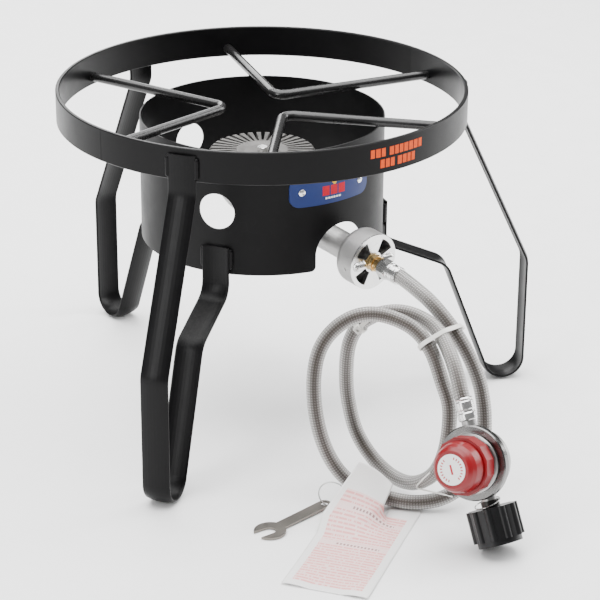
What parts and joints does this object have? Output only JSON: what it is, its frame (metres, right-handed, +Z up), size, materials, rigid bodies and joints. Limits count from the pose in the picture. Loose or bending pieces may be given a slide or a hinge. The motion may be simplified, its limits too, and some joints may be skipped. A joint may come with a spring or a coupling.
{
  "type": "gas burner stand",
  "caption": "Round pot stand on bent strap legs with a wind shield, a cast gas burner, a braided hose and an adjustable regulator with a cylinder nut.",
  "frame": {"origin": "on the floor, at the centre of the three feet and on the axis of the pot ring", "axes": "+Z up along the pot ring's axis, -Y towards the burner's gas inlet, +X to the right when facing the inlet's way in"},
  "size_m": [0.4926, 0.699, 0.334],
  "materials": {
    "black_paint": "semi-gloss black paint",
    "blue_label": "gloss printed label on sheet metal",
    "bright_aluminium": "bright",
    "grey_casting": "as cast",
    "zinc_steel": "bright zinc plate",
    "brass": "machined",
    "steel_braid": "woven stainless braid",
    "clear_plastic": "milky nylon",
    "zinc_casting": "cast, satin",
    "black_rubber": "matte",
    "red_plastic": "satin moulded",
    "white_plastic": "matte",
    "black_plastic": "satin moulded",
    "printed_film": "printed translucent film"
  },
  "bodies": {
    "stand": {"ring": "black_paint", "leg_left": "black_paint", "leg_right": "black_paint", "leg_back": "black_paint", "rod_front": "black_paint", "rod_right": "black_paint", "rod_left": "black_paint", "weld_beads": "black_paint", "wind_shield": "black_paint", "name_plate": "blue_label", "plate_rivets": "bright_aluminium", "burner_bracket": "black_paint", "burner_body": "grey_casting", "burner_crown": "grey_casting", "burner_bolt": "zinc_steel", "burner_washer": "zinc_steel", "burner_nut": "zinc_steel", "bell_screw": "zinc_steel", "orifice_fitting": "brass", "swivel_nut": "zinc_steel", "hose_ferrule_burner": "zinc_steel", "hose": "steel_braid", "hose_ferrule_regulator": "zinc_steel", "hose_tie": "clear_plastic", "small_tie": "clear_plastic", "regulator_body": "zinc_casting", "regulator_bonnet": "zinc_casting", "regulator_rim": "zinc_casting", "diaphragm": "black_rubber", "diaphragm_plate": "zinc_steel", "regulator_spring": "zinc_steel", "inlet_stem": "brass", "stem_nose": "black_rubber", "stem_clip": "zinc_steel", "tag": "printed_film", "tag_string": "white_plastic", "wire_ring": "zinc_steel"},
    "shutter": {"air_shutter": "zinc_steel"},
    "knob_turn": {"knob": "red_plastic", "knob_disc": "white_plastic"},
    "button": {"spring_button": "brass"},
    "coupling_nut": {"cylinder_nut": "black_plastic"},
    "loose_spanner": {"spanner": "zinc_steel"}
  },
  "joints": [
    {"name": "shutter_turn", "type": "hinge", "parent": "stand", "child": "shutter", "pos_m": [0, -0.16788, 0.19854], "axis": [0, -0.9969, -0.0785], "range_deg": [0, 45]},
    {"name": "knob_screw", "type": "hinge", "parent": "stand", "child": "knob_turn", "pos_m": [-0.042, -0.364, 0.0769], "axis": [-0.9327, -0.2674, 0.2419], "range_deg": [0, 1080]},
    {"name": "button_slide", "type": "slide", "parent": "stand", "child": "button", "axis": [0.9327, 0.2674, -0.2419], "range_m": [0, 0.0037]},
    {"name": "nut_turn", "type": "hinge", "parent": "stand", "child": "coupling_nut", "pos_m": [-0.04692, -0.39375, 0.02502], "axis": [-0.0821, -0.4958, -0.8645], "continuous": true},
    {"name": "spanner_swing", "type": "hinge", "parent": "stand", "child": "loose_spanner", "pos_m": [-0.114, -0.234, 0], "axis": [0, 0, 1], "range_deg": [-60, 12]}
  ],
  "couplings": [
    {"joint": "button_slide", "follows": "knob_screw", "m_per_rad": 0.00019099}
  ]
}
